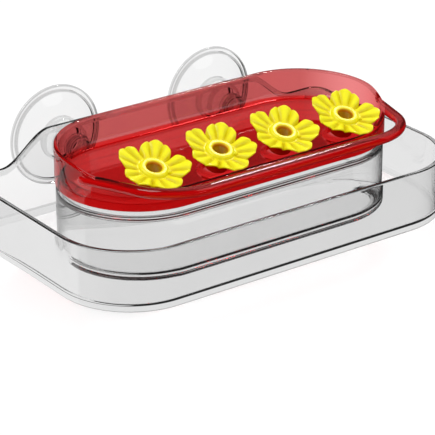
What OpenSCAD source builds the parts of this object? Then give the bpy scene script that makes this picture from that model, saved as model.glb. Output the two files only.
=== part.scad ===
// Window hummingbird feeder: clear tray with two suction cups, clear nectar cup,
// red lid with a perch rail, and four yellow flower ports.
// Millimetres. X runs along the length, +Y towards the window, +Z up.
// The origin is on the underside of the tray, below the middle of the nectar cup.

/* [Tray] */
// Room in the tray beyond each end of the nectar cup, to the outside of the tray's wall
tray_end_room = 18.6; // [12:0.1:40]
// Distance from the cup's centre line to the tray's front
tray_front = 59.4; // [50:0.1:80]
// Distance from the cup's centre line to the back of the panel
tray_back = 60; // [50:0.5:90]
// Radius of the front corners
tray_front_r = 36.9; // [10:0.1:45]
// Radius of the back corners
tray_back_r = 8; // [3:0.5:20]
// Height of the side and front walls
tray_h = 29.6; // [20:0.1:34]
// Thickness of the tray's walls
tray_wall = 2.4; // [1.5:0.1:4]
// Thickness of the tray's floor
tray_floor = 2; // [1.5:0.1:4]
// Height of the raised middle of the back panel
panel_h = 44.5; // [38:0.1:50]
// Half width of the raised middle, at its top
panel_top_x = 58.4; // [55:0.1:70]
// Half width of the raised middle, at the wall's height
panel_foot_x = 85; // [75:0.5:92]

/* [Nectar cup] */
// Distance that the cup's sides are set in from the lid's outside
cup_set_in = 0.4; // [0:0.1:1.5]
// Thickness of the cup's wall
cup_wall = 2; // [1.2:0.1:3]
// Thickness of the cup's floor
cup_floor = 2; // [1.5:0.1:3]
// Radius of the cup's lower edge, on the outside
cup_foot_r = 1.6; // [0.5:0.1:4]
// Radius of the hollow's lower edge
cup_hollow_r = 3; // [1:0.1:8]
// Height of the shoulder above the tray's underside
cup_shoulder_z = 33; // [28:0.1:35]
// Height of the step inside the cup
cup_step_z = 30.7; // [26:0.1:32]
// Distance that the neck is set in from the body
cup_neck_in = 2; // [1.6:0.1:3]
// Height of the neck's rim
cup_rim_z = 38; // [36:0.1:42]

/* [Lid] */
// Distance from the middle of an end flower to the lid's end
lid_end_room = 31.4; // [27:0.1:40]
// Half of the lid's depth, the radius of its ends
lid_r = 38.4; // [34:0.1:43]
// Thickness of the lid's wall
lid_wall = 2; // [1.2:0.1:3]
// Thickness of the deck
lid_deck = 2; // [1.2:0.1:3]
// Radius of the sweep between the deck and the wall
lid_sweep_r = 4; // [1:0.1:8]
// Height of the skirt's lower edge
lid_skirt_z = 35.7; // [33.5:0.1:37.5]
// Height of the rim at the back
rim_back_z = 54.5; // [48:0.1:60]
// Height of the rim where it bends down to the front
rim_bend_z = 53.1; // [47:0.1:58]
// Height of the rim at the front
rim_front_z = 44.3; // [42:0.1:50]
// Distance from the centre line to the bend in the rim
rim_bend_y = 3; // [0:0.5:10]
// Softness of the bend in the rim
rim_bend_soft = 4; // [1:0.5:10]

/* [Perch] */
// Diameter of the perch rail
perch_d = 5; // [4:0.1:7]
// Distance from the lid's centre line to the middle of the front bar
perch_reach = 55.4; // [48:0.1:56]
// Distance that the rail's corners are set in from the lid's ends
perch_set_in = 10.6; // [7:0.1:20]
// Radius of the rail's corners
perch_bend = 27.8; // [12:0.1:35]
// Angle by which the arms lean inwards
perch_lean = 18.4; // [10:0.1:25]
// Height of the middle of the arms, at the lid's centre line
perch_root_z = 46.6; // [44:0.1:49]
// Angle by which the rail rises to the front
perch_rise = 3.3; // [0:0.1:8]
// Length of the straight part of each arm
perch_arm = 29; // [20:0.5:34]

/* [Flower ports] */
// Distance between neighbouring flowers
flower_pitch = 36.4; // [30:0.1:45]
// Distance from the centre line to the middle of a flower
flower_y = 22.1; // [10:0.1:28]
// Height of the middle of a flower
flower_z = 49.6; // [46:0.1:60]
// Angle by which the flowers lean to the front
flower_tilt = 20; // [0:1:35]
// Outer radius of a flower
flower_r = 17.2; // [14:0.1:18.3]
// Radius of the feeding hole
port_r = 3.9; // [1.5:0.1:4.5]
// Thickness of a flower's tube
stem_wall = 1.5; // [1:0.1:3]
// Thickness of a petal
petal_t = 1; // [0.6:0.1:3]
// Rise of a petal from its root to its tip
petal_rise = 3.3; // [0:0.1:5]
// Height of the ring round the feeding hole, above the petals
ring_h = 1.3; // [0.5:0.1:3]
// Thickness of a socket's wall
socket_wall = 1.6; // [1:0.1:3]
// Radius of the round plinth below each flower
plinth_r = 10.8; // [9:0.1:14]
// Height of the plinth above the deck
plinth_h = 1.2; // [0.5:0.1:3]

/* [Suction cups] */
// Distance from the middle of the panel to each suction cup
suction_x = 45.5; // [35:0.1:52]
// Height of the suction cups
suction_z = 32.5; // [30:0.1:40]
// Radius of a suction cup's lip
suction_r = 25; // [18:0.5:30]
// Depth of a suction cup, from the panel to its lip
suction_depth = 15.3; // [12:0.1:20]
// Width of the flat ring that meets the window
lip_w = 1.6; // [0.5:0.1:4]
// Radius of the hub behind the panel
hub_r = 9.8; // [7:0.1:12]
// Length of the hub
hub_t = 7.6; // [5:0.1:9]
// Thickness of the dish next to the hub
dish_t = 2.4; // [1.5:0.1:4]
// Radius of the neck
neck_r = 3.2; // [2:0.1:5]
// Radius of the head in front of the panel
head_r = 6.4; // [5:0.1:9]
// Length of the head
head_len = 6.5; // [4:0.1:10]

/* [Fits] */
// Clearance between the lid's skirt and the cup's neck, all round
lid_clear = 0.4; // [0.2:0.05:1]
// Clearance round a flower's tube in its socket
stem_clear = 0.15; // [0.05:0.05:0.4]
// Clearance round a suction cup's neck
neck_clear = 0.3; // [0.1:0.05:1]

/* [Hidden] */
smooth = 96;
fine = 48;
eps = 0.05;
// the row of flowers sets the lid's half length, and the cup and the tray follow it
lid_half_x = 1.5 * flower_pitch + lid_end_room;
cup_half_x = lid_half_x - cup_set_in;
cup_r = lid_r - cup_set_in;
tray_half_x = cup_half_x + tray_end_room;
// the lid's inner half length and radius
lid_in_x = lid_half_x - lid_wall;
lid_in_r = lid_r - lid_wall;
// the neck keeps its clearance inside the skirt
neck_x = min(cup_half_x - cup_neck_in, lid_in_x - lid_clear);
neck_rad = min(cup_r - cup_neck_in, lid_in_r - lid_clear);
// the lid's deck rests on the neck's rim
deck_z = cup_rim_z + lid_deck;
stem_r = port_r + stem_wall;
socket_bore = stem_r + stem_clear;
socket_r = socket_bore + socket_wall;
// the tube is as long as the way from the petals down to the deck's underside
stem_len = (flower_z - deck_z) / cos(flower_tilt);
collar_r = stem_r + 2.2;
// the rail's corners turn about these points
perch_end_x = lid_half_x - perch_set_in - perch_bend;
RIM_STEPS = 32;

// Half of a section with its lower corner rounded by the radius f
module round_section(r, f, h) {
  square([r - f, h]);
  translate([0, f])
    square([r, h - f]);
  translate([r - f, f])
    circle(r = f, $fn = fine);
}

// A slab with round ends whose lower edge is rounded by the radius f
module bowl(hx, r, f, z0, z1) {
  h = z1 - z0;
  for (s = [-1, 1])
    translate([s * (hx - r), 0, z0])
      rotate_extrude($fn = smooth)
        round_section(r, f, h);
  translate([-(hx - r), 0, z0])
    rotate([90, 0, 90])
      linear_extrude(height = 2 * (hx - r))
        union() {
          round_section(r, f, h);
          mirror([1, 0]) round_section(r, f, h);
        }
}

// A flat-sided slab with round ends, half length hx and end radius r
module pill(hx, r, z0, z1) {
  for (s = [-1, 1])
    translate([s * (hx - r), 0, z0])
      cylinder(r = r, h = z1 - z0, $fn = smooth);
  translate([-(hx - r), -r, z0])
    cube([2 * (hx - r), 2 * r, z1 - z0]);
}

// The tray's outline, set in by the distance d
module tray_slab(d, z0, z1) {
  hx = tray_half_x - d;
  y0 = -tray_front + d;
  y1 = tray_back - d;
  rf = tray_front_r - d;
  rb = tray_back_r - d;
  h = z1 - z0;
  for (s = [-1, 1]) {
    translate([s * (hx - rf), y0 + rf, z0])
      cylinder(r = rf, h = h, $fn = smooth);
    translate([s * (hx - rb), y1 - rb, z0])
      cylinder(r = rb, h = h, $fn = smooth);
  }
  translate([-(hx - rf), y0, z0])
    cube([2 * (hx - rf), rf + eps, h]);
  translate([-hx, y0 + rf, z0])
    cube([2 * hx, y1 - rb - y0 - rf, h]);
  translate([-(hx - rb), y1 - rb - eps, z0])
    cube([2 * (hx - rb), rb + eps, h]);
}

function soft_step(t) = t <= 0 ? 0 : t >= 1 ? 1 : t * t * (3 - 2 * t);
function panel_z(x) = tray_h + (panel_h - tray_h)
  * soft_step((panel_foot_x - x) / (panel_foot_x - panel_top_x));

// The raised middle of the back panel, with flowing shoulders
module panel() {
  n = 16;
  w = panel_foot_x - panel_top_x;
  right = [for (i = [0 : n]) let (x = panel_foot_x - w * i / n) [x, panel_z(x)]];
  left = [for (i = [0 : n]) let (x = panel_top_x + w * i / n) [-x, panel_z(x)]];
  translate([0, tray_back, 0])
    rotate([90, 0, 0])
      linear_extrude(height = tray_wall)
        polygon(concat([[panel_foot_x, tray_h - 3]], right, left,
                       [[-panel_foot_x, tray_h - 3]]));
}

module tray() {
  color([0.93, 0.95, 0.96, 0.35])
  difference() {
    union() {
      difference() {
        tray_slab(0, 0, tray_h);
        tray_slab(tray_wall, tray_floor, tray_h + 1);
      }
      panel();
    }
    for (s = [-1, 1])
      translate([s * suction_x, tray_back + 1, suction_z])
        rotate([90, 0, 0])
          cylinder(r = neck_r + neck_clear, h = tray_wall + 2, $fn = fine);
  }
}

module nectar_cup() {
  color([0.94, 0.96, 0.97, 0.3])
  difference() {
    union() {
      bowl(cup_half_x, cup_r, cup_foot_r, tray_floor, cup_shoulder_z);
      pill(neck_x, neck_rad, cup_shoulder_z - 1, cup_rim_z);
    }
    bowl(cup_half_x - cup_wall, cup_r - cup_wall, cup_hollow_r, tray_floor + cup_floor, cup_step_z);
    pill(neck_x - cup_wall, neck_rad - cup_wall, cup_step_z - 1, cup_rim_z + 1);
  }
}

// Height of the lid's rim above the tray's underside, at the distance y from the centre line
function bend(t) = (t + sqrt(t * t + rim_bend_soft * rim_bend_soft)) / 2;
back_slope = (rim_back_z - rim_bend_z) / (lid_r + rim_bend_y);
front_slope = (rim_bend_z - rim_front_z) / (lid_r - rim_bend_y);
function rim_z(y) = rim_bend_z + back_slope * (y + rim_bend_y)
  - (front_slope - back_slope) * bend(-(y + rim_bend_y));

// Everything above the rim's curve, as one long bar
module above_rim() {
  y0 = -lid_r - 1;
  dy = 2 * (lid_r + 1) / RIM_STEPS;
  curve = [for (i = [0 : RIM_STEPS]) let (y = y0 + i * dy) [y, rim_z(y)]];
  translate([-lid_half_x - 1, 0, 0])
    rotate([90, 0, 90])
      linear_extrude(height = 2 * lid_half_x + 2)
        polygon(concat(curve, [[lid_r + 1, rim_back_z + 20], [y0, rim_back_z + 20]]));
}

// The perch rail: one front bar, two bent corners and two arms that run into the lid's wall.
// The straight pieces reach a little way into the corners, inside them.
module perch() {
  r = perch_d / 2;
  inner = r - 0.06;
  lap = 1;
  run = perch_reach / cos(perch_rise);
  translate([0, 0, perch_root_z])
    rotate([perch_rise, 0, 180]) {
      translate([-perch_end_x - lap, run, 0])
        rotate([0, 90, 0])
          cylinder(r = inner, h = 2 * (perch_end_x + lap), $fn = fine);
      for (s = [-1, 1])
        translate([s * perch_end_x, run - perch_bend, 0])
          mirror([s < 0 ? 1 : 0, 0, 0])
            rotate([0, 0, perch_lean]) {
              rotate_extrude(angle = 90 - perch_lean, $fn = smooth)
                translate([perch_bend, 0])
                  circle(r = r, $fn = fine);
              translate([perch_bend, lap, 0])
                rotate([90, 0, 0])
                  cylinder(r = inner, h = perch_arm + lap, $fn = fine);
            }
    }
}

// Places a child at the flower number i, on the flower's own slanting axis
module at_flower(i) {
  translate([(i - 2.5) * flower_pitch, -flower_y, flower_z])
    rotate([flower_tilt, 0, 0])
      children();
}

module lid() {
  color([0.8, 0.02, 0.04, 0.75])
  difference() {
    union() {
      difference() {
        pill(lid_half_x, lid_r, lid_skirt_z, rim_back_z + 2);
        above_rim();
        bowl(lid_in_x, lid_in_r, lid_sweep_r, deck_z, rim_back_z + 3);
      }
      difference() {
        perch();
        bowl(lid_in_x, lid_in_r, lid_sweep_r, deck_z, rim_back_z + 3);
      }
      for (i = [1 : 4]) {
        translate([(i - 2.5) * flower_pitch, -flower_y, deck_z - eps])
          cylinder(r = plinth_r, h = plinth_h + eps, $fn = fine);
        at_flower(i)
          translate([0, 0, -stem_len])
            cylinder(r = socket_r, h = stem_len - petal_t, $fn = fine);
      }
    }
    pill(lid_in_x, lid_in_r, lid_skirt_z - 1, deck_z - lid_deck);
    for (i = [1 : 4])
      at_flower(i)
        translate([0, 0, -stem_len - 10])
          cylinder(r = socket_bore, h = stem_len + 12, $fn = fine);
  }
}

// A flower port: five cupped petals, a raised ring and a tube that plugs into its socket
module flower(i) {
  lobe = 0.215 * flower_r;
  reach = flower_r - lobe;
  r1 = collar_r;
  color([1, 0.9, 0.05])
  at_flower(i)
  difference() {
    union() {
      intersection() {
        rotate_extrude($fn = smooth)
          polygon([[port_r, -petal_t], [r1, -petal_t], [flower_r + 1, petal_rise - petal_t],
                   [flower_r + 1, petal_rise], [r1, 0], [port_r, 0]]);
        union() {
          translate([0, 0, -petal_t - 1])
            cylinder(r = 0.52 * flower_r, h = petal_rise + petal_t + 2, $fn = fine);
          for (k = [0 : 4])
            rotate([0, 0, 72 * k - 90]) {
              translate([0.575 * flower_r, 0, -petal_t - 1])
                cylinder(r = 0.36 * flower_r, h = petal_rise + petal_t + 2, $fn = fine);
              for (a = [-14, 0, 14])
                rotate([0, 0, a])
                  translate([reach, 0, -petal_t - 1])
                    cylinder(r = lobe, h = petal_rise + petal_t + 2, $fn = fine);
            }
        }
      }
      rotate_extrude($fn = smooth)
        polygon([[port_r, -0.5], [stem_r + 1, -0.5], [stem_r + 0.8, 0.5 * ring_h],
                 [stem_r, ring_h], [stem_r - 0.8, ring_h], [port_r, 0.5 * ring_h]]);
      translate([0, 0, -stem_len])
        cylinder(r = stem_r, h = stem_len - 0.2, $fn = fine);
    }
    translate([0, 0, -stem_len - 1])
      cylinder(r = port_r, h = stem_len + 5, $fn = fine);
  }
}

// A suction cup: soft dish, hub, neck through the panel and a head that holds it there
module suction_cup(s) {
  d = suction_depth;
  w = tray_wall;
  color([0.93, 0.95, 0.95, 0.4])
  translate([s * suction_x, tray_back, suction_z])
    rotate([-90, 0, 0])
      rotate_extrude($fn = smooth)
        polygon([[0, -w - head_len], [head_r - 2.2, -w - head_len], [head_r - 0.7, -w - head_len + 0.8],
                 [head_r, -w - head_len + 2.2], [head_r, -w - 1.2], [head_r - 0.9, -w - 0.15],
                 [neck_r, -w - 0.15], [neck_r, 0.15], [hub_r - 1.2, 0.15], [hub_r, 1.4],
                 [hub_r, hub_t], [hub_r + 1.2, hub_t + 1.1], [suction_r * 0.6, hub_t + 2],
                 [suction_r * 0.8, d - 3.6], [suction_r - 2.5, d - 1.8], [suction_r, d - 1.2],
                 [suction_r, d], [suction_r - lip_w, d], [suction_r * 0.8, d - 1.7],
                 [suction_r * 0.6, hub_t + 2 + dish_t], [hub_r, hub_t + dish_t], [0, hub_t + dish_t - 0.6]]);
}

module flower_1() flower(1);
module flower_2() flower(2);
module flower_3() flower(3);
module flower_4() flower(4);
module suction_cup_left() suction_cup(-1);
module suction_cup_right() suction_cup(1);

tray();
nectar_cup();
lid();
flower_1();
flower_2();
flower_3();
flower_4();
suction_cup_left();
suction_cup_right();
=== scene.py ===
import math
from functools import reduce

import bmesh
import bpy
from mathutils import Matrix, Vector


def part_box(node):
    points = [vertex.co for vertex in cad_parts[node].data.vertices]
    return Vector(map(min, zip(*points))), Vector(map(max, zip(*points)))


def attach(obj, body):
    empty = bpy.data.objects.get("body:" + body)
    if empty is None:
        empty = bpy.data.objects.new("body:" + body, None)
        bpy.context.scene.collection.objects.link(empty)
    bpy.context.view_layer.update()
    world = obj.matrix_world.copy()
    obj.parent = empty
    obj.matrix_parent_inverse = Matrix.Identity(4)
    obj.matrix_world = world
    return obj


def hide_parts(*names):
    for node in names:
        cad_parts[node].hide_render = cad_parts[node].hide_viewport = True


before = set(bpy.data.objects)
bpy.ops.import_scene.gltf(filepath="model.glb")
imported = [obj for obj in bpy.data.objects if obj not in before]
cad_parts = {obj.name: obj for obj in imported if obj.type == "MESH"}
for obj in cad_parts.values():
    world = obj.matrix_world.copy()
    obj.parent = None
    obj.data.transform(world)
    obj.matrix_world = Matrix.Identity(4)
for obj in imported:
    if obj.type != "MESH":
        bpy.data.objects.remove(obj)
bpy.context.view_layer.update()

MM = 0.001
WELD, SLIVER = 0.001 * MM, 0.01 * MM


def box_mm(node):
    """The lowest and the highest corner of a node of the frame, in mm."""
    return [[round(v / MM, 1) for v in corner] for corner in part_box(node)]


# Sizes in mm. The outer ones come from the frame and the others are the part source's, apart from two:
# SWEEP, the curve at the foot of the lid's wall, is a little wider here, and RIBS is a petal's folds
low, high = box_mm("tray")
TRAY_X, TRAY_BACK, PANEL_H = high
TRAY_FRONT = -low[1]
TRAY_RF, TRAY_RB, TRAY_H, TRAY_W = 36.9, 8.0, 29.6, 2.4
PANEL_TOP, PANEL_FOOT = 58.4, 85.0
low, high = box_mm("nectar_cup")
CUP_X, CUP_R, CUP_RIM = high
TRAY_FLOOR = low[2]
CUP_W, CUP_FLOOR, CUP_SHOULDER, CUP_STEP, CUP_IN = 2.0, 2.0, 33.0, 30.7, 2.0
low, high = box_mm("lid")
LID_X, LID_R = high[:2]
SKIRT_Z = low[2]
LID_W, LID_DECK, SWEEP = 2.0, 2.0, 4.4
DECK_Z = CUP_RIM + LID_DECK
RIM_BACK, RIM_BEND, RIM_FRONT, BEND_Y, BEND_SOFT = 54.5, 53.1, 44.3, 3.0, 4.0
BACK_SLOPE = (RIM_BACK - RIM_BEND) / (LID_R + BEND_Y)
FRONT_SLOPE = (RIM_BEND - RIM_FRONT) / (LID_R - BEND_Y)
PERCH_D, PERCH_REACH, PERCH_BEND, PERCH_ARM, PERCH_Z = 5.0, 55.4, 27.8, 29.0, 46.6
PERCH_LEAN, PERCH_RISE = math.radians(18.4), math.radians(3.3)
PITCH, FLOWER_Y, FLOWER_Z, FLOWER_R = 36.4, 22.1, 49.6, 17.2
TILT, HALF_PETAL, RIBS = math.radians(20.0), math.pi / 5, 3
PORT_R, STEM_WALL, STEM_CLEAR, SOCKET_WALL = 3.9, 1.5, 0.15, 1.6
STEM_R = PORT_R + STEM_WALL
BORE_R = STEM_R + STEM_CLEAR
SOCKET_R = BORE_R + SOCKET_WALL
PLINTH_R, PLINTH_H = 10.8, 1.2
low, high = box_mm("suction_cup_right")
SUCTION_R = (high[2] - low[2]) / 2
SUCTION_X, SUCTION_Z = high[0] - SUCTION_R, (high[2] + low[2]) / 2
SUCTION_D = high[1] - TRAY_BACK
HUB_R, HUB_T, NECK_R, HEAD_R, HEAD_LEN = 9.8, 7.6, 3.2, 6.4, 6.5


# Mesh helpers
def make(name, verts, faces, sharp=40):
    """An object from points in mm, shaded smooth but for edges above sharp degrees."""
    me = bpy.data.meshes.new(name)
    me.from_pydata([tuple(c * MM for c in v) for v in verts], [], faces)
    bm = bmesh.new()
    bm.from_mesh(me)
    bmesh.ops.remove_doubles(bm, verts=bm.verts, dist=WELD)
    bmesh.ops.recalc_face_normals(bm, faces=bm.faces)
    bm.to_mesh(me)
    bm.free()
    ob = bpy.data.objects.new(name, me)
    bpy.context.scene.collection.objects.link(ob)
    shade(ob, sharp)
    return ob


def shade(ob, sharp=40):
    me = ob.data
    me.polygons.foreach_set("use_smooth", [True] * len(me.polygons))
    me.set_sharp_from_angle(angle=math.radians(sharp))
    me.update()


def boolean(ob, other, operation):
    """Cuts the other object out of ob or joins it on, and clears up slivers."""
    m = ob.modifiers.new("cut", "BOOLEAN")
    m.operation, m.object, m.solver = operation, other, "EXACT"
    bpy.context.view_layer.objects.active = ob
    bpy.ops.object.modifier_apply(modifier="cut")
    bpy.data.objects.remove(other, do_unlink=True)
    bm = bmesh.new()
    bm.from_mesh(ob.data)
    bmesh.ops.dissolve_degenerate(bm, edges=bm.edges, dist=SLIVER)
    bm.to_mesh(ob.data)
    bm.free()
    shade(ob)


def wrap(rows):
    """Points and faces of a closed skin. Each row of points is joined to the next and the last row to
    the first, and one face each closes the rows' first and last points."""
    n, k = len(rows), len(rows[0])
    faces = []
    for i in range(n):
        a, b = i * k, (i + 1) % n * k
        faces.extend((a + t, b + t, b + t + 1, a + t + 1) for t in range(k - 1))
    faces.append(tuple(i * k for i in range(n)))
    faces.append(tuple(i * k + k - 1 for i in reversed(range(n))))
    return [p for row in rows for p in row], faces


def loft(stations, profile):
    """One row for each station (x, y and outward normal); profile gives (offset inwards, height) pairs."""
    return wrap([[(s[0] - s[2] * off, s[1] - s[3] * off, z) for off, z in profile(s)] for s in stations])


def revolve(name, profile, centre, axis, n=96):
    """Turns (radius, distance along the axis) points round an axis."""
    c, w = Vector(centre), Vector(axis).normalized()
    u = w.orthogonal().normalized()
    v = w.cross(u)
    rows = []
    for i in range(n):
        a = 2 * math.pi * i / n
        out = u * math.cos(a) + v * math.sin(a)
        rows.append([tuple(c + out * r + w * h) for r, h in profile])
    return make(name, *wrap(rows))


def arc(cx, cz, r, start, end, n=6):
    """Profile points on an arc; the offset grows inwards, so angle 180 is the outer side."""
    angles = [math.radians(start + (end - start) * i / n) for i in range(n + 1)]
    return [(cx + r * math.cos(a), cz + r * math.sin(a)) for a in angles]


def pill(half_x, r, n=72, straight=10):
    """Stations round an outline with two straight sides and round ends."""
    a, out = half_x - r, []
    for side in (1, -1):
        for i in range(n + 1):
            t = -side * math.pi / 2 + math.pi * i / n
            out.append((side * a + r * math.cos(t), r * math.sin(t), math.cos(t), math.sin(t)))
        for i in range(1, straight):
            out.append((side * (a - 2 * a * i / straight), side * r, 0.0, float(side)))
    return out


def tray_outline():
    """Stations round the tray's wall, close together in the corners and along the panel's slopes."""
    out = []

    def corner(cx, cy, r, start, n):
        for i in range(n + 1):
            t = math.radians(start + 90.0 * i / n)
            out.append((cx + r * math.cos(t), cy + r * math.sin(t), math.cos(t), math.sin(t)))

    x, rf, rb = TRAY_X, TRAY_RF, TRAY_RB
    side = TRAY_BACK - rb + TRAY_FRONT - rf
    corner(x - rf, -TRAY_FRONT + rf, rf, -90, 44)
    out.extend((x, -TRAY_FRONT + rf + side * i / 6, 1.0, 0.0) for i in range(1, 6))
    corner(x - rb, TRAY_BACK - rb, rb, 0, 16)
    slope = [PANEL_FOOT + 6 - (PANEL_FOOT - PANEL_TOP + 8) * i / 40 for i in range(41)]
    level = [40 - 10 * i for i in range(9)]
    out.extend((v, TRAY_BACK, 0.0, 1.0) for v in slope + level + [-v for v in reversed(slope)])
    corner(-x + rb, TRAY_BACK - rb, rb, 90, 16)
    out.extend((-x, TRAY_BACK - rb - side * i / 6, -1.0, 0.0) for i in range(1, 6))
    corner(-x + rf, -TRAY_FRONT + rf, rf, 180, 44)
    out.extend(((x - rf) * (i / 5 - 1), -TRAY_FRONT, 0.0, -1.0) for i in range(1, 10))
    return out


def rod(name, path, r, n=32):
    """A round bar along a path of points, with domed ends."""
    pts = [Vector(p) for p in path]
    last = len(pts) - 1
    ways = [(pts[min(i + 1, last)] - pts[max(i - 1, 0)]).normalized() for i in range(last + 1)]
    up = Vector((0, 0, 1))
    rings = []
    for p, way in zip(pts, ways):
        u = (up - way * up.dot(way)).normalized()
        v = way.cross(u)
        turns = [2 * math.pi * k / n for k in range(n)]
        rings.append([p + (u * math.cos(a) + v * math.sin(a)) * r for a in turns])

    def dome(p, way, ring):
        angles = [math.radians(18 * s) for s in range(1, 5)]
        return [[p + (v - p) * math.cos(a) + way * (math.sin(a) * r) for v in ring] for a in angles]

    rings = dome(pts[0], -ways[0], rings[0])[::-1] + rings + dome(pts[-1], ways[-1], rings[-1])
    verts = [tuple(v) for ring in rings for v in ring]
    faces = []
    for i in range(len(rings) - 1):
        a, b = i * n, (i + 1) * n
        faces.extend((a + k, a + (k + 1) % n, b + (k + 1) % n, b + k) for k in range(n))
    faces.append(tuple(range(n)))
    faces.append(tuple((len(rings) - 1) * n + k for k in reversed(range(n))))
    return make(name, verts, faces)


# Materials
PLASTIC_IOR, VINYL_IOR, MIRROR_IOR, MIRROR_GAIN = 1.49, 1.5, 2.0, 3.0
MIRROR_ROUGH, SOLID_ROUGH = 0.01, 0.04
WAVE_SCALE, WAVE_DETAIL, WAVE_DEPTH = 55.0, 2.0, 0.4 * MM
GRAIN_SCALE, GRAIN_DETAIL = 900.0, 3.0
LOW_TONE, LOW_END, HIGH_END = 0.985, 0.35, 0.65
WHITE = (1.0, 1.0, 1.0)
PALE_SHADOW, RED_SHADOW = (0.95, 0.95, 0.95), (0.8, 0.12, 0.12)


class Graph:
    """A node tree, emptied, with short names for the nodes that the looks need."""

    def __init__(self, tree):
        tree.nodes.clear()
        self.nodes, self.links = tree.nodes, tree.links
        self.path = self.add("LightPath").outputs

    def add(self, kind, inputs=None, **settings):
        """A new node. Its inputs are given as numbers, as colours or as the sockets to link."""
        node = self.nodes.new("ShaderNode" + kind)
        for key, value in settings.items():
            setattr(node, key, value)
        for key, value in (inputs or {}).items():
            socket = node.inputs[key]
            if isinstance(value, bpy.types.NodeSocket):
                self.links.new(value, socket)
            elif socket.type == "RGBA":
                socket.default_value = (*value, 1)
            else:
                socket.default_value = value
        return node

    def calc(self, operation, *values):
        return self.add("Math", dict(enumerate(values)), operation=operation).outputs[0]

    def times(self, *values):
        """The product; of masks it is 1 where all of them are."""
        return reduce(lambda a, b: self.calc("MULTIPLY", a, b), values)

    def most(self, *values):
        """The largest value; of masks it is 1 where any of them is."""
        return reduce(lambda a, b: self.calc("MAXIMUM", a, b), values)

    def rest(self, value):
        return self.calc("SUBTRACT", 1.0, value)

    def size(self, value):
        return self.calc("ABSOLUTE", value)

    def length(self, a, b):
        return self.calc("SQRT", self.calc("MULTIPLY_ADD", a, a, self.times(b, b)))

    def less(self, value, limit):
        return self.calc("LESS_THAN", value, limit)

    def more(self, value, limit):
        return self.calc("GREATER_THAN", value, limit)

    def near(self, value, middle, reach):
        return self.calc("COMPARE", value, middle, reach)

    def fade(self, value, start, end, first, last, soft=False):
        """Goes from first to last while the value goes from start to end."""
        ends = {"Value": value, "From Min": start, "From Max": end, "To Min": first, "To Max": last}
        kind = "SMOOTHSTEP" if soft else "LINEAR"
        return self.add("MapRange", ends, interpolation_type=kind).outputs["Result"]

    def choose(self, mask, without, within):
        return self.fade(mask, 0, 1, without, within)

    def ramp(self, value, *stops):
        """A colour for a value between 0 and 1; the stops are (position, colour) pairs."""
        node = self.add("ValToRGB", {"Fac": value})
        while len(node.color_ramp.elements) < len(stops):
            node.color_ramp.elements.new(0.5)
        for element, (position, colour) in zip(node.color_ramp.elements, stops):
            element.position, element.color = position, (*colour, 1)
        return node.outputs["Color"]

    def colour(self, *channels):
        return self.add("CombineColor", dict(enumerate(channels))).outputs[0]

    def grey(self, tone):
        return self.colour(tone, tone, tone)

    def see_through(self, colour):
        return self.add("BsdfTransparent", {"Color": colour}).outputs[0]

    def blend(self, share, first, second):
        """Two shaders mixed; share is how much there is of the second."""
        return self.add("MixShader", {"Fac": share, 1: first, 2: second}).outputs[0]


def new_material(name):
    m = bpy.data.materials.new(name)
    m.use_nodes = True
    return m


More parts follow.
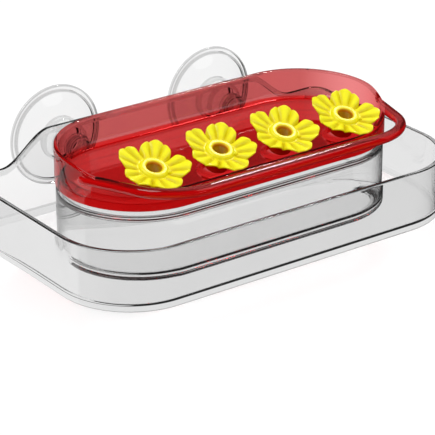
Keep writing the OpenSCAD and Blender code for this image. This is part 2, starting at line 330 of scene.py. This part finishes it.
class Plastic(Graph):
    """Moulded plastic: faint flow waves in the surface and a fine variation of tone and gloss.

    absorb is the light lost per metre inside it, for red, green and blue, and shadow is the colour
    that it gives to the light it lets through. x, y, z are a point's place in the object's own space,
    in mm, nz is the height of its normal, and r is its distance from the middle line that the cup and
    the lid share.
    """

    def __init__(self, name, colour, rough, grain, wave, ior=PLASTIC_IOR, absorb=None, shadow=None):
        self.material = new_material(name)
        super().__init__(self.material.node_tree)
        self.behind = self.add("NewGeometry").outputs["Backfacing"]
        place = self.add("TexCoord").outputs
        flow = self.add("TexNoise", {"Vector": place["Object"], "Scale": WAVE_SCALE, "Detail": WAVE_DETAIL})
        fine = self.add("TexNoise", {"Vector": place["Object"], "Scale": GRAIN_SCALE, "Detail": GRAIN_DETAIL})
        flow, fine = flow.outputs["Fac"], fine.outputs["Fac"]
        bump = self.add("Bump", {"Height": flow, "Strength": wave, "Distance": WAVE_DEPTH})
        lower = [c * LOW_TONE for c in colour]
        self.shader = self.add("BsdfPrincipled", {
            "Base Color": self.ramp(flow, (LOW_END, lower), (HIGH_END, colour)),
            "Roughness": self.choose(fine, max(0.0, rough - grain), rough + grain),
            "Normal": bump.outputs[0], "IOR": ior, "Transmission Weight": 1.0 if absorb else 0.0})
        self.out = self.add("OutputMaterial")
        self.show(self.shader.outputs[0])
        if shadow:
            self.show(self.blend(self.path["Is Shadow Ray"], self.surface, self.see_through(shadow)))
        if absorb:
            most = max(absorb)
            tone = tuple(1 - v / most for v in absorb)
            volume = self.add("VolumeAbsorption", {"Color": tone, "Density": most})
            self.links.new(volume.outputs[0], self.out.inputs["Volume"])
        point = self.add("SeparateXYZ", {0: place["Object"]}).outputs
        self.x, self.y, self.z = (self.times(point[i], 1 / MM) for i in range(3))
        self.nz = self.add("SeparateXYZ", {0: place["Normal"]}).outputs["Z"]
        past = self.calc("SUBTRACT", self.size(self.x), LID_X - LID_R)
        self.r = self.length(self.most(past, 0.0), self.y)

    def show(self, surface):
        self.surface = surface
        self.links.new(surface, self.out.inputs["Surface"])

    def tint(self, colour):
        """Multiplies the base colour by another one."""
        base = self.shader.inputs["Base Color"]
        mix = self.add("Mix", {"Factor": 1.0, "A": base.links[0].from_socket, "B": colour},
                       data_type="RGBA", blend_type="MULTIPLY")
        self.links.new(mix.outputs["Result"], base)

    def solid(self, amount, colour):
        """Mixes in glossy solid plastic on the outer side, as much as amount says."""
        shader = self.add("BsdfPrincipled", {"Base Color": colour, "Roughness": SOLID_ROUGH}).outputs[0]
        seen = self.rest(self.most(self.path["Is Shadow Ray"], self.behind))
        self.show(self.blend(self.times(amount, seen), self.surface, shader))

    def pane(self, where, colour, ior=None, gain=1.0):
        """Where the mask is 1 light goes straight on, tinted; with an IOR the outer side also mirrors."""
        shader = self.see_through(colour)
        if ior is not None:
            mirror = self.add("BsdfGlossy", {"Roughness": MIRROR_ROUGH}).outputs[0]
            fresnel = self.add("Fresnel", {"IOR": ior}).outputs[0]
            share = self.times(fresnel, gain, self.rest(self.behind))
            shader = self.blend(self.calc("MINIMUM", share, 1.0), shader, mirror)
        self.show(self.blend(where, self.surface, shader))


def red_plastic():
    """See-through red: the perch and the rims bend light, the even walls and the deck let it straight on."""
    p = Plastic("clear_red", (0.95, 0.28, 0.28), 0.0, 0.004, 0.02, absorb=(20, 140, 137), shadow=RED_SHADOW)
    x, y, z, r = p.size(p.x), p.y, p.z, p.r
    # masks of the lid's parts
    from_bend = p.calc("ADD", y, BEND_Y)
    slopes = [p.calc("MULTIPLY_ADD", from_bend, slope, RIM_BEND) for slope in (BACK_SLOPE, FRONT_SLOPE)]
    bent_band = p.fade(y, -5, 5, 1.9, 1.1)
    below_rim = p.less(z, p.calc("SUBTRACT", p.calc("MINIMUM", *slopes), bent_band))
    deck = p.times(p.less(z, DECK_Z + 0.3), p.more(p.size(p.nz), 0.6))
    deck_top = p.times(deck, p.more(z, DECK_Z - 0.5))
    skirt = p.less(z, DECK_Z - 0.2)
    ends = p.fade(x, 70, 84, 0, 1)
    back_wall = p.times(p.fade(z, DECK_Z - 0.5, DECK_Z + 1.5, 0, 1), p.fade(y, -20, 15, 0, 1))
    perch = p.more(r, LID_R + 0.05)
    # the top of the perch, which is given painted shade below
    painted_shade_crest = p.times(perch, p.fade(p.nz, 0.45, 0.8, 0, 1))
    # the tint of the even parts, with painted light and shade in it: paler at the ends, darker red on the
    # back wall, deeper red on the deck and skirt; the deck also mirrors
    red = p.choose(p.times(back_wall, p.rest(ends)), 0.94, 0.775)
    others = p.times(p.choose(ends, 0.39, 0.59), p.choose(p.most(deck, skirt), 1.0, 0.35))
    even = p.times(below_rim, p.less(r, LID_R + 0.05))
    even_tint_and_painted_light = p.colour(red, others, others)
    p.pane(even, even_tint_and_painted_light, p.choose(deck, PLASTIC_IOR, MIRROR_IOR), p.choose(deck, 1.0, MIRROR_GAIN))
    # the share of solid colour: front wall and skirt, perch, deck
    outer = p.times(p.near(r, LID_R, 0.3), p.fade(x, 84.2, 84.5, 1.0, 0.25))
    front = p.times(p.fade(y, -8, -16, 0, 0.65), below_rim)
    walls = p.times(outer, p.most(front, p.times(skirt, 0.75)))
    # painted shade: the rail keeps less solid colour towards its top, and on its crest that colour is a dark
    # red
    rail = p.times(perch, p.fade(p.nz, 0.35, 0.8, 0.85, 0.55))
    plain, dark = (0.72, 0.001, 0.002), (0.16, 0.004, 0.004)
    tone = p.colour(*(p.choose(painted_shade_crest, a, b) for a, b in zip(plain, dark)))
    p.solid(p.most(walls, rail, p.times(deck_top, 0.48)), tone)
    return p.material


def yellow_plastic():
    """Solid yellow, with painted shade: golden in the folds and at the petals' roots, brown inside the
    feeding hole.
    """
    p = Plastic("flower_yellow", (1.0, 0.94, 0.001), 0.34, 0.06, 0.15)
    reach = 20.0
    far = p.length(p.x, p.y)
    # painted shade: brown inside the feeding hole, golden to dim across the raised ring, golden again at the
    # petals' roots
    brown, golden_shade, ring_shade, root_shade = (0.72, 0.30, 1), (0.93, 0.84, 0.6), (0.95, 0.94, 1), (0.94, 0.86, 0.7)
    rings = [(0.0, brown), (3.52, brown), (4.0, golden_shade), (6.6, ring_shade), (8.0, root_shade), (11.0, WHITE)]
    p.tint(p.ramp(p.times(far, 1 / reach), *((at / reach, colour) for at, colour in rings)))
    # painted shade in the creases between a petal's three ribs
    turn = p.calc("ADD", p.calc("ARCTAN2", p.y, p.x), math.pi / 2)
    t = p.calc("WRAP", turn, HALF_PETAL, -HALF_PETAL)
    rib = p.calc("FRACT", p.calc("MULTIPLY_ADD", t, RIBS / 2 / HALF_PETAL, 2.5))
    crease_shade = p.fade(p.size(p.calc("SUBTRACT", rib, 0.5)), 0.10, 0.40, 0, 1, soft=True)
    along = p.times(p.fade(far, 6.3, 8.5, 0, 1), p.fade(far, 12.5, 17.0, 1, 0.25))
    p.tint(p.ramp(p.times(crease_shade, along), (0.0, WHITE), (1.0, (0.80, 0.74, 0.5))))
    p.shader.inputs["Subsurface Weight"].default_value = 0.10
    p.shader.inputs["Subsurface Radius"].default_value = (1.0, 0.8, 0.05)
    p.shader.inputs["Subsurface Scale"].default_value = 1.0 * MM
    return p.material


def clear_tray():
    """Clear: the floor and the back panel's even middle are panes, the walls and edges bend light."""
    p = Plastic("clear_tray", WHITE, 0.0, 0.004, 0.02, absorb=(1, 1, 1), shadow=PALE_SHADOW)
    x, y, z = p.size(p.x), p.y, p.z
    floor_top = p.times(p.less(z, TRAY_FLOOR + 0.05), p.more(p.size(p.nz), 0.97))
    p.pane(p.most(floor_top, p.less(z, 0.1)), p.grey(p.choose(p.less(z, 1.0), 0.99, 1.0)))
    under_edge = p.less(z, p.fade(x, PANEL_TOP, PANEL_FOOT, PANEL_H - 3, TRAY_H - 3, soft=True))
    middle = p.times(p.more(y, TRAY_BACK - 5), p.less(x, TRAY_X - TRAY_RB - 0.1), p.more(z, 5.0))
    p.pane(p.times(middle, under_edge, p.less(p.size(p.nz), 0.02)), (0.96, 0.96, 0.96), PLASTIC_IOR)
    # painted shade: a dark line along the top of the rim, except at the back, and the front a little darker
    rim = p.times(p.near(z, TRAY_H - 0.2, 0.3), p.less(y, TRAY_BACK - 5))
    p.tint(p.grey(p.times(p.fade(y, -48, -38, 0.95, 1.0), p.choose(rim, 1.0, 0.5))))
    return p.material


def clear_cup():
    """Clear: the foot's back and middle are panes, the other walls bend light."""
    p = Plastic("clear_cup", WHITE, 0.0, 0.004, 0.02, absorb=(6, 6, 6), shadow=PALE_SHADOW)
    z, r = p.z, p.r
    p.pane(p.times(p.less(z, 7.5), p.most(p.more(p.y, 3.0), p.less(r, CUP_R - 6.5))), WHITE)
    # painted shade: thin dark lines along the edges of the step, the shoulder and the foot
    edges = ((CUP_STEP, 0.2), (CUP_SHOULDER - 0.3, 0.25), (TRAY_FLOOR + 0.6, 0.6))
    edge = p.most(*(p.near(z, at, reach) for at, reach in edges))
    p.tint(p.grey(p.choose(p.times(edge, p.more(r, CUP_R - 4)), 1.0, 0.22)))
    # painted shade: the round ends are darkened where the wall is seen along its length
    outer = p.times(p.more(r, CUP_R - 0.2), p.less(p.size(p.nz), 0.3))
    facing = p.add("LayerWeight").outputs["Facing"]
    p.tint(p.grey(p.fade(p.times(facing, outer), 0.52, 0.78, 1.0, 0.33)))
    return p.material


def clear_vinyl():
    """Soft vinyl: its rounded edges bend light into thin dark rings, which painted shade deepens; the rest is
    even.
    """
    p = Plastic("clear_vinyl", (0.99, 0.99, 0.99), 0.015, 0.008, 0.05, ior=VINYL_IOR, absorb=(8, 8, 8),
                shadow=PALE_SHADOW)
    rs = p.length(p.calc("SUBTRACT", p.size(p.x), SUCTION_X), p.calc("SUBTRACT", p.z, SUCTION_Z))
    hub_end = p.times(p.near(rs, HUB_R + 0.35, 0.75), p.more(p.y, TRAY_BACK + HUB_T - 1.0))
    hub_foot = p.times(p.near(rs, HUB_R - 0.8, 0.9), p.near(p.y, TRAY_BACK + 1.0, 0.95))
    head = p.times(p.near(rs, HEAD_R - 0.6, 0.8), p.less(p.y, TRAY_BACK - TRAY_W))
    edge = p.most(p.more(rs, SUCTION_R - 0.8), p.near(rs, SUCTION_R - 2.8, 0.55), hub_end, hub_foot, head)
    p.pane(p.rest(edge), (0.95, 0.95, 0.95), VINYL_IOR)
    # painted shade: two thin dark rings near the rim
    rings = p.most(p.near(rs, SUCTION_R - 0.4, 0.25), p.near(rs, SUCTION_R - 2.8, 0.3))
    p.tint(p.grey(p.choose(rings, 1.0, 0.7)))
    return p.material


CLEAR = clear_tray()
CLEAR_CUP = clear_cup()
VINYL = clear_vinyl()
RED = red_plastic()
YELLOW = yellow_plastic()


def dress(ob, material, slot_name, body, *stands_for):
    ob.data.materials.clear()
    ob.data.materials.append(material)
    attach(ob, body)
    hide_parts(*stands_for)


# Tray
def panel_z(x):
    """Height of the back wall's edge: the raised panel and its soft slopes."""
    t = (PANEL_FOOT - abs(x)) / (PANEL_FOOT - PANEL_TOP)
    t = min(1.0, max(0.0, t))
    return TRAY_H + (PANEL_H - TRAY_H) * t * t * (3 - 2 * t)


def tray_profile(station):
    """Half of the tray's section: the floor, the wall and its rounded rim; crisper towards the back."""
    x, y, _, ny = station
    top = panel_z(x) if ny > 0.999 and y > 0 else TRAY_H
    w, f, e, inner = TRAY_W, TRAY_FLOOR, 0.7, 7.4
    back = min(1.0, max(0.0, (y - 10) / 30))
    ro, ri = 2.0 - 1.6 * back, 3.0 - 2.6 * back
    p = [(inner, 0), (ro + 0.2, 0)] + arc(ro, ro, ro, 270, 180, 8)
    p += [(0, ro + 0.3), (0, top - e - 0.2)] + arc(e, top - e, e, 180, 90, 5)
    p += arc(w - e, top - e, e, 90, 0, 5) + [(w, top - e - 0.2), (w, f + ri + 0.2)]
    p += arc(w + ri, f + ri, ri, 180, 270, 8) + [(w + ri + 0.3, f), (inner, f)]
    return p


def build_tray():
    tray = make("tray_shell", *loft(tray_outline(), tray_profile))
    for side in (-1, 1):
        centre = (side * SUCTION_X, TRAY_BACK - TRAY_W / 2, SUCTION_Z)
        hole = revolve("hole", [(NECK_R + 0.3, -5), (NECK_R + 0.3, 5)], centre, (0, 1, 0), 40)
        boolean(tray, hole, "DIFFERENCE")
    dress(tray, CLEAR, "tray_clear", "base", "tray")


# Nectar cup
def cup_profile(station):
    """Half of the cup's section: foot, wall, shoulder, neck and rim, then the hollow's side."""
    z0, w, n, sh, st = TRAY_FLOOR + 0.03, CUP_W, CUP_IN, CUP_SHOULDER, CUP_STEP
    top, zf, inner = CUP_RIM - 0.03, TRAY_FLOOR + CUP_FLOOR, 14
    p = [(inner, z0 + 0.5), (4.4, z0 + 0.5), (4.0, z0 + 0.35), (3.6, z0), (2.0, z0)]
    p += arc(1.6, z0 + 1.6, 1.6, 270, 180, 7)
    p += [(0, z0 + 1.9), (0, sh - 0.8)] + arc(0.6, sh - 0.6, 0.6, 180, 90, 4)
    p += [(n - 0.5, sh), (n - 0.15, sh + 0.08), (n, sh + 0.5)]
    p += [(n, top - 0.9)] + arc(n + 0.7, top - 0.7, 0.7, 180, 90, 4)
    p += arc(n + w - 0.7, top - 0.7, 0.7, 90, 0, 4) + [(n + w, top - 0.9), (n + w, st + 0.8)]
    p += [(n + w - 0.15, st + 0.25), (n + w - 0.7, st), (w + 0.5, st - 0.15), (w, st - 0.8)]
    p += [(w, zf + 3.3)] + arc(w + 3.0, zf + 3.0, 3.0, 180, 270, 8) + [(w + 3.3, zf), (inner, zf)]
    return p


def build_cup():
    cup = make("nectar_cup_shell", *loft(pill(CUP_X, CUP_R), cup_profile))
    dress(cup, CLEAR_CUP, "cup_clear", "base", "nectar_cup")


# Lid, with the axes of the flowers
FLOWER_AXIS = Vector((0, -math.sin(TILT), math.cos(TILT)))
CENTRES = [Vector(((i - 1.5) * PITCH, -FLOWER_Y, FLOWER_Z)) for i in range(4)]


def rim_z(y):
    """Height of the lid's rim: two slopes that meet in a soft bend."""
    t = -(y + BEND_Y)
    bend = (FRONT_SLOPE - BACK_SLOPE) * (t + math.sqrt(t * t + BEND_SOFT ** 2)) / 2
    return RIM_BEND + BACK_SLOPE * (y + BEND_Y) - bend


def lid_profile(station):
    """Half of the lid's section: the deck from below, the skirt, the wall, its rim and the sweep."""
    _, y, _, ny = station
    w, e, inner, under = LID_W, 0.6, 14, DECK_Z - LID_DECK
    to, ti = rim_z(y), rim_z(y - ny * w)
    low = min(SWEEP, ti - e - 0.3 - DECK_Z)
    p = [(inner, under), (w + 0.4, under), (w, under - 0.3), (w, SKIRT_Z + 0.5)]
    p += arc(w - 0.4, SKIRT_Z + 0.4, 0.4, 0, -90, 3) + arc(0.4, SKIRT_Z + 0.4, 0.4, 270, 180, 3)
    p += [(0, SKIRT_Z + 0.7), (0, to - e - 0.2)] + arc(e, to - e, e, 180, 90, 4)
    p += arc(w - e, ti - e, e, 90, 0, 4) + [(w, ti - e - 0.2)]
    p += arc(w + low, DECK_Z + low, low, 180, 270, 10) + [(w + SWEEP + 0.2, DECK_Z), (inner, DECK_Z)]
    return p


def perch_path():
    """The rail's middle line: arm, bend, straight front, bend and arm, rising towards the front."""
    a, bend = LID_X - LID_R, PERCH_BEND
    run = PERCH_REACH / math.cos(PERCH_RISE)
    cy = run - bend
    foot = (a + bend * math.cos(PERCH_LEAN), cy + bend * math.sin(PERCH_LEAN))
    lengths = [PERCH_ARM * (1 - i / 12) for i in range(12)]
    half = [(foot[0] + math.sin(PERCH_LEAN) * d, foot[1] - math.cos(PERCH_LEAN) * d) for d in lengths]
    turns = [PERCH_LEAN + (math.pi / 2 - PERCH_LEAN) * i / 24 for i in range(25)]
    half += [(a + bend * math.cos(t), cy + bend * math.sin(t)) for t in turns]
    half += [(a * (1 - i / 8), run) for i in range(1, 8)]
    whole = half + [(0.0, run)] + [(-u, v) for u, v in reversed(half)]
    return [(u, -v * math.cos(PERCH_RISE), PERCH_Z + v * math.sin(PERCH_RISE)) for u, v in whole]


def slanted(name, centre, profile, floor=None):
    """A turned form on a flower's axis; its lowest ring is moved along the axis onto the height floor."""
    ob = revolve(name, profile, centre, FLOWER_AXIS, 64)
    if floor is not None:
        low = min(h for _, h in profile)
        for v in ob.data.vertices:
            if abs((v.co / MM - centre).dot(FLOWER_AXIS) - low) < 0.01:
                v.co += FLOWER_AXIS * ((floor - v.co.z / MM) / FLOWER_AXIS.z * MM)
    return ob


def build_lid():
    steps = (90, 12)
    lid = make("lid_shell", *loft(pill(LID_X, LID_R, *steps), lid_profile))
    perch = rod("perch", perch_path(), PERCH_D / 2)
    room = pill(LID_X - LID_W + 0.01, LID_R - LID_W + 0.01, *steps)
    dish = make("dish", *loft(room, lambda station: [(0, DECK_Z + 1), (0, 70)]))
    boolean(perch, dish, "DIFFERENCE")
    boolean(lid, perch, "UNION")
    step = [(PLINTH_R, -0.8), (PLINTH_R, PLINTH_H - 0.4), (PLINTH_R - 0.15, PLINTH_H - 0.1),
            (PLINTH_R - 0.5, PLINTH_H)]
    collar = [(SOCKET_R, -11.5), (SOCKET_R, -2.1), (SOCKET_R - 0.4, -1.65)]
    for c in CENTRES:
        boolean(lid, revolve("plinth", step, (c.x, c.y, DECK_Z), (0, 0, 1), 72), "UNION")
        boolean(lid, slanted("socket", c, collar, floor=DECK_Z - 1.0), "UNION")
    for c in CENTRES:
        boolean(lid, slanted("bore", c, [(BORE_R, -22), (BORE_R, 4)]), "DIFFERENCE")
    dress(lid, RED, "lid_red", "lid", "lid")


# Flowers
LOBE_AT, LOBE_R = 9.85, 7.35
PETAL_HALF, PETAL_ROOT, RIB_HALF = 0.42, 6.8, 0.54
PIP_X, PIP_Y, PIP_SIDES = 5.15, -4.8, 12


def ribs(t):
    """Three rounded ribs across a petal, with creases between them; t is the angle from its middle."""
    x = (t / HALF_PETAL * (RIBS / 2) + 0.5) % 1.0 - 0.5
    return math.sqrt(max(0.0, 1 - (x / RIB_HALF) ** 2))


def flower_edge(t):
    """Distance from the middle to the petal's edge, a round lobe with shallow scallops."""
    r = LOBE_AT * math.cos(t) + math.sqrt(max(0.0, LOBE_R ** 2 - (LOBE_AT * math.sin(t)) ** 2))
    return r - 0.75 * (1 - ribs(t)) - 0.12 * (1 - math.cos(24 * t))


def flower_height(r, t):
    """Upper surface of the petals at radius r (mm) and angle t."""
    u = min(1.0, max(0.0, (r - PETAL_ROOT) / (FLOWER_R - PETAL_ROOT)))
    z = 3.1 * u ** 1.25 - 0.2
    z += 2.1 * math.sin(math.pi * min(1.0, 0.10 + 0.78 * u)) ** 0.8 * (ribs(t) - 0.8) * min(1.0, u * 4)
    gap = (abs(math.degrees(t)) - 36.0) / 4.5
    return z - 0.9 * math.exp(-gap * gap) * min(1.0, u * 3)


def flower_section(t, across=26):
    """The flower's section at angle t, once round: hole, lip, ring, petal, its back and the tube."""
    half, hole, lip = PETAL_HALF, PORT_R - 0.1, PORT_R - 0.45
    end = flower_edge(t) - half
    p = [(hole, -9.6), (hole, -0.9), (lip, -0.4), (lip, 0.2)] + arc(lip + 1.1, 0.2, 1.1, 180, 90, 6)[1:]
    p += arc(STEM_R - 0.1, -0.1, 1.4, 90, 12, 7) + [(STEM_R + 1.35, -0.05)]
    start = STEM_R + 1.7
    radii = [start + (end - start) * q / across for q in range(across + 1)]
    p += [(r, flower_height(r, t)) for r in radii]
    z = flower_height(end, t) - half
    turns = [math.pi * q / 8 for q in range(1, 9)]
    p += [(end + half * math.sin(a), z + half * math.cos(a)) for a in turns]
    radii = [end + (STEM_R + 2.2 - end) * q / 8 for q in range(1, 9)]
    p += [(r, flower_height(r, t) - 2 * half) for r in radii]
    return p + [(STEM_R + 1.2, -1.5), (STEM_R, -1.55), (STEM_R, -9.2), (STEM_R - 0.4, -9.6)]


def build_flower(number, centre):
    around = 360
    verts, faces = [], []
    for i in range(around):
        angle = 2 * math.pi * i / around
        section = flower_section((angle + HALF_PETAL) % (2 * HALF_PETAL) - HALF_PETAL)
        c, s = math.cos(angle - math.pi / 2), math.sin(angle - math.pi / 2)
        verts.extend((r * c, r * s, h) for r, h in section)
    k = len(section)
    for i in range(around):
        a, b = i * k, (i + 1) % around * k
        faces.extend((a + q, b + q, b + (q + 1) % k, a + (q + 1) % k) for q in range(k))
    # the small pip beside the raised ring
    first, n = len(verts), PIP_SIDES
    rings = [(1.15, -0.6), (1.15, 0.35), (1.0, 0.75), (0.65, 1.05), (0.2, 1.15)]
    turns = [2 * math.pi * q / n for q in range(n)]
    for r, h in rings:
        verts.extend((PIP_X + r * math.cos(a), PIP_Y + r * math.sin(a), h) for a in turns)
    for i in range(len(rings) - 1):
        a, b = first + i * n, first + (i + 1) * n
        faces.extend((a + q, a + (q + 1) % n, b + (q + 1) % n, b + q) for q in range(n))
    faces.append(tuple(first + q for q in reversed(range(n))))
    faces.append(tuple(first + (len(rings) - 1) * n + q for q in range(n)))
    ob = make("flower_port_%d" % number, verts, faces, 60)
    ob.location = centre * MM
    ob.rotation_euler = (TILT, 0, 0)
    bpy.context.view_layer.update()
    dress(ob, YELLOW, "flower_yellow", "lid", "flower_%d" % number)


# Suction cups
def suction(side, name, node):
    """Head, neck, hub, thin dish and rounded lip, then the hollow side; distances are from the panel."""
    d, w, r, h = SUCTION_D, TRAY_W, SUCTION_R, HUB_T
    end = -w - HEAD_LEN
    head = [(1.5, end), (HEAD_R - 2.2, end + 0.1), (HEAD_R - 1.1, end + 0.55), (HEAD_R - 0.35, end + 1.4),
            (HEAD_R, end + 2.4), (HEAD_R, -w - 1.3), (HEAD_R - 0.25, -w - 0.6), (HEAD_R - 0.9, -w - 0.2)]
    neck = [(NECK_R + 0.3, -w - 0.2), (NECK_R, -w + 0.1), (NECK_R, -0.1), (NECK_R + 0.3, 0.2)]
    hub = [(HUB_R - 1.5, 0.2), (HUB_R - 0.7, 0.45), (HUB_R - 0.15, 0.95), (HUB_R, 1.6), (HUB_R, h - 0.2),
           (HUB_R + 0.2, h + 0.3), (HUB_R + 0.9, h + 0.8)]
    dish = [(12.5, h + 1.35), (15.0, h + 1.95), (17.5, h + 2.9), (20.0, h + 4.15), (21.6, d - 2.35)]
    lip = [(22.3, d - 1.95), (22.6, d - 1.9), (23.4, d - 1.9), (24.3, d - 1.75), (24.85, d - 1.35),
           (r, d - 0.9), (r, d - 0.35), (24.75, d), (23.5, d), (22.9, d - 0.25)]
    hollow = [(22.3, d - 0.6), (21.0, d - 1.25), (19.0, d - 2.15), (17.0, d - 2.75), (15.0, h + 4.1),
              (12.5, h + 3.2), (10.0, h + 2.5), (6.0, h + 2.1), (2.0, h + 1.9)]
    centre = (side * SUCTION_X, TRAY_BACK, SUCTION_Z)
    ob = revolve(name, head + neck + hub + dish + lip + hollow, centre, (0, 1, 0), 128)
    dress(ob, VINYL, "suction_clear", "base", node)


# Floor, light and camera
def build_floor(half=6.0):
    """A white floor that keeps the object's shadow; seen in or through plastic it gives way to the world."""
    me = bpy.data.meshes.new("floor")
    corners = [(-half, -half, 0), (half, -half, 0), (half, half, 0), (-half, half, 0)]
    me.from_pydata(corners, [], [(0, 1, 2, 3)])
    ob = bpy.data.objects.new("floor", me)
    bpy.context.scene.collection.objects.link(ob)
    ob.location.z = -0.4 * MM
    material = new_material("floor_white")
    g = Graph(material.node_tree)
    lit, own = 0.30, 0.71
    shaded = g.add("BsdfDiffuse", {"Color": (lit, lit, lit)}).outputs[0]
    glow = g.add("Emission", {"Strength": g.times(g.path["Is Camera Ray"], own)}).outputs[0]
    white = g.add("AddShader", {0: shaded, 1: glow}).outputs[0]
    inside = g.most(g.path["Is Glossy Ray"], g.path["Is Transmission Ray"])
    g.add("OutputMaterial", {"Surface": g.blend(inside, white, g.see_through(WHITE))})
    me.materials.append(material)


def build_world(scene):
    """White to the camera and, up to the horizon, through clear plastic. Mirrors see a white backdrop
    behind and to the left and a dark room elsewhere. The deck's mirror image of the back wall is white
    behind that wall: such a ray has met two panes and goes up steeply."""
    world = bpy.data.worlds.new("studio")
    scene.world = world
    world.use_nodes = True
    w = Graph(world.node_tree)
    left, right, low, tall, dark = (-1.14, -1.12), (0.35, 0.62), (0.0, 0.12), (0.08, 0.22), 0.03
    way = w.add("SeparateXYZ", {0: w.add("TexCoord").outputs["Generated"]}).outputs
    turn = w.calc("ARCTAN2", way["X"], way["Y"])
    behind = w.times(w.fade(turn, *left, 0, 1), w.fade(turn, *right, 1, 0))
    backdrop = w.calc("MULTIPLY_ADD", w.times(behind, w.fade(way["Z"], *low, 1, 0)), 0.95, dark)
    two_panes = w.times(w.near(w.path["Transparent Depth"], 2.0, 0.5), w.less(w.path["Ray Depth"], 2.5))
    in_mirror = w.most(backdrop, w.times(two_panes, w.near(way["Z"], 0.41, 0.12)))
    through = w.fade(way["Z"], *tall, 1.0, 0.04)
    mirrored = w.more(w.path["Glossy Depth"], 0.5)
    bent = w.calc("ADD", w.times(through, w.rest(mirrored)), w.times(in_mirror, mirrored))
    inside = w.most(w.path["Is Glossy Ray"], w.path["Is Transmission Ray"])
    plain = w.calc("MULTIPLY_ADD", w.path["Is Camera Ray"], 0.15, 0.85)
    level = w.calc("ADD", w.times(plain, w.rest(inside)), w.times(bent, inside))
    sky = w.add("Background", {"Strength": level}).outputs[0]
    w.add("OutputWorld", {"Surface": sky})


def area(scene, name, place, size, power):
    """A round lamp that points at the feeder; the places are in metres."""
    aim = Vector((0, 0, 0.04))
    light = bpy.data.lights.new(name, "AREA")
    light.shape, light.size, light.energy = "DISK", size, power
    ob = bpy.data.objects.new(name, light)
    scene.collection.objects.link(ob)
    ob.location = place
    ob.rotation_euler = (aim - Vector(place)).to_track_quat("-Z", "Y").to_euler()


def build_camera(scene):
    """The photograph's camera, placed along its own forward, right and up directions (mm)."""
    turn, tip = math.radians(36.298), math.radians(23.982)
    back, right, up = 1037.994, -2.757, 3.245
    picture, focal, sensor = 435, 2196.041, 36.0
    f = Vector((math.sin(turn) * math.cos(tip), math.cos(turn) * math.cos(tip), -math.sin(tip)))
    r = Vector((math.cos(turn), -math.sin(turn), 0))
    u = Vector((math.sin(turn) * math.sin(tip), math.cos(turn) * math.sin(tip), math.cos(tip)))
    c = (f * -back + r * right + u * up) * MM
    data = bpy.data.cameras.new("camera")
    data.sensor_width = sensor
    data.lens = focal / picture * sensor
    data.clip_start, data.clip_end = 0.01, 50.0
    camera = bpy.data.objects.new("camera", data)
    scene.collection.objects.link(camera)
    camera.matrix_world = Matrix(((r.x, u.x, -f.x, c.x), (r.y, u.y, -f.y, c.y), (r.z, u.z, -f.z, c.z),
                                  (0, 0, 0, 1)))
    scene.camera = camera


build_tray()
build_cup()
build_lid()
for number, centre in enumerate(CENTRES, 1):
    build_flower(number, centre)
suction(-1, "suction_left", "suction_cup_left")
suction(1, "suction_right", "suction_cup_right")

scene = bpy.context.scene
build_floor()
build_world(scene)
area(scene, "key", (-0.75, 0.15, 1.15), 0.7, 5.0)
area(scene, "fill", (0.5, -1.0, 0.9), 0.9, 2.5)
area(scene, "back", (0.65, 0.36, 0.94), 0.18, 3.5)
build_camera(scene)
scene.view_settings.view_transform = "Standard"
scene.cycles.max_bounces = 24
scene.cycles.transmission_bounces = 24
scene.cycles.glossy_bounces = 8
scene.cycles.transparent_max_bounces = 32
